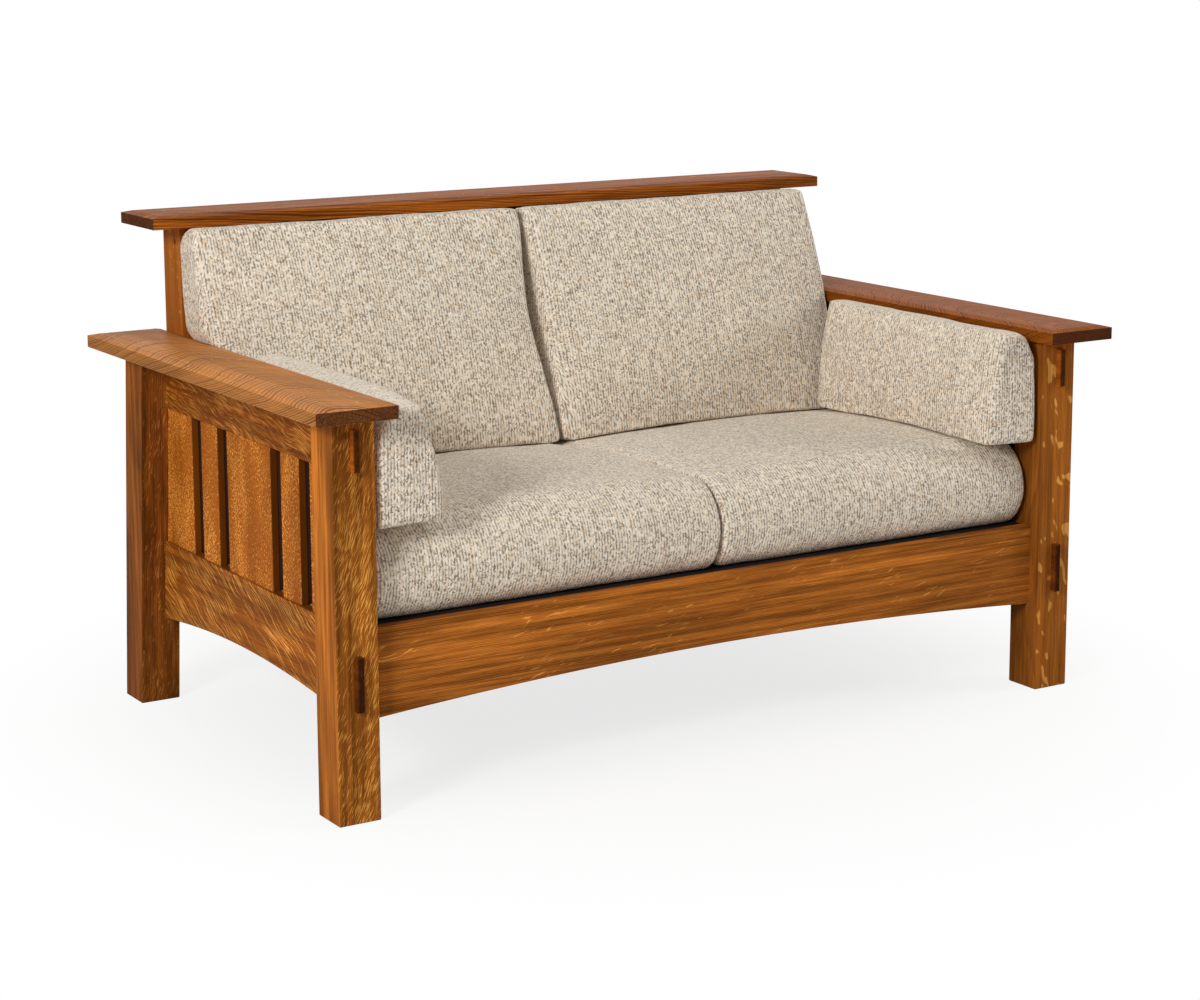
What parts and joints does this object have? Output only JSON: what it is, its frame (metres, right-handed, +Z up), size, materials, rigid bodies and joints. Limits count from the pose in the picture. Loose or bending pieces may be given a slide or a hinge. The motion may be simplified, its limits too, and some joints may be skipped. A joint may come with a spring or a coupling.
{
  "type": "loveseat",
  "caption": "Oak loveseat with square posts, flat bevelled arms and crest, slatted sides, arched aprons, a webbed seat deck and loose seat, back and arm cushions.",
  "frame": {"origin": "on the floor, in the middle of the settle's bounding box", "axes": "+X to the viewer's right seen from the front, +Y to the back, +Z up; the front faces -Y"},
  "size_m": [1.64, 0.972, 0.917],
  "materials": {
    "oak": "satin, stained quartersawn oak with ray flecks",
    "oak_end_grain": "satin, dark end grain",
    "dark_backing": "dark stained board, dull",
    "plain_hardwood": "matt, unstained",
    "upholstery": "oatmeal woven tweed with short dark flecks",
    "deck_cloth": "matt black lining cloth",
    "webbing": "matt woven jute",
    "screw_steel": "dull"
  },
  "bodies": {
    "frame": {"arm_left": "oak", "arm_right": "oak", "back_apron": "oak", "back_lower_rail": "oak", "back_post_left": "oak", "back_post_right": "oak", "back_slat_1": "oak", "back_slat_2": "oak", "back_slat_3": "oak", "back_slat_4": "oak", "back_slat_5": "oak", "back_slat_6": "oak", "back_slat_7": "oak", "back_slat_8": "oak", "back_slat_9": "oak", "back_stile_left": "oak", "back_stile_right": "oak", "back_top_rail": "oak", "crest_cap": "oak", "crosswise_webbing": "webbing", "deck_cloth": "deck_cloth", "deck_rail_back": "plain_hardwood", "deck_rail_front": "plain_hardwood", "deck_rail_left": "plain_hardwood", "deck_rail_right": "plain_hardwood", "deck_spine": "plain_hardwood", "front_apron": "oak", "front_post_left": "oak", "front_post_right": "oak", "lengthwise_webbing": "webbing", "lower_side_rail_left": "oak", "lower_side_rail_right": "oak", "lower_tenon_left": "oak_end_grain", "lower_tenon_right": "oak_end_grain", "side_backing_left": "dark_backing", "side_backing_right": "dark_backing", "side_slat_1_left": "oak", "side_slat_1_right": "oak", "side_slat_2_left": "oak", "side_slat_2_right": "oak", "side_slat_3_left": "oak", "side_slat_3_right": "oak", "side_slat_4_left": "oak", "side_slat_4_right": "oak", "side_slat_5_left": "oak", "side_slat_5_right": "oak", "stile_screws": "screw_steel", "stile_spacer_left": "oak", "stile_spacer_right": "oak", "upper_side_rail_left": "oak", "upper_side_rail_right": "oak", "upper_tenon_left": "oak_end_grain", "upper_tenon_right": "oak_end_grain"},
    "back_cushion_left": {"back_cushion_left": "upholstery"},
    "back_cushion_right": {"back_cushion_right": "upholstery"},
    "bolster_left": {"bolster_left": "upholstery"},
    "bolster_right": {"bolster_right": "upholstery"},
    "seat_cushion_left": {"seat_cushion_left": "upholstery"},
    "seat_cushion_right": {"seat_cushion_right": "upholstery"}
  },
  "joints": [
    {"name": "seat_cushion_left_pull_out", "type": "slide", "parent": "frame", "child": "seat_cushion_left", "axis": [0, -1, 0], "range_m": [0, 0.7]},
    {"name": "back_cushion_left_tip", "type": "hinge", "parent": "frame", "child": "back_cushion_left", "pos_m": [0, 0.1265, 0.4671], "axis": [1, 0, 0], "range_deg": [0, 15]},
    {"name": "bolster_left_lift_out", "type": "slide", "parent": "frame", "child": "bolster_left", "axis": [0.5, 0, 0.866], "range_m": [0, 0.35]},
    {"name": "seat_cushion_right_pull_out", "type": "slide", "parent": "frame", "child": "seat_cushion_right", "axis": [0, -1, 0], "range_m": [0, 0.7]},
    {"name": "back_cushion_right_tip", "type": "hinge", "parent": "frame", "child": "back_cushion_right", "pos_m": [0, 0.1265, 0.4671], "axis": [1, 0, 0], "range_deg": [0, 15]},
    {"name": "bolster_right_lift_out", "type": "slide", "parent": "frame", "child": "bolster_right", "axis": [-0.5, 0, 0.866], "range_m": [0, 0.35]}
  ]
}
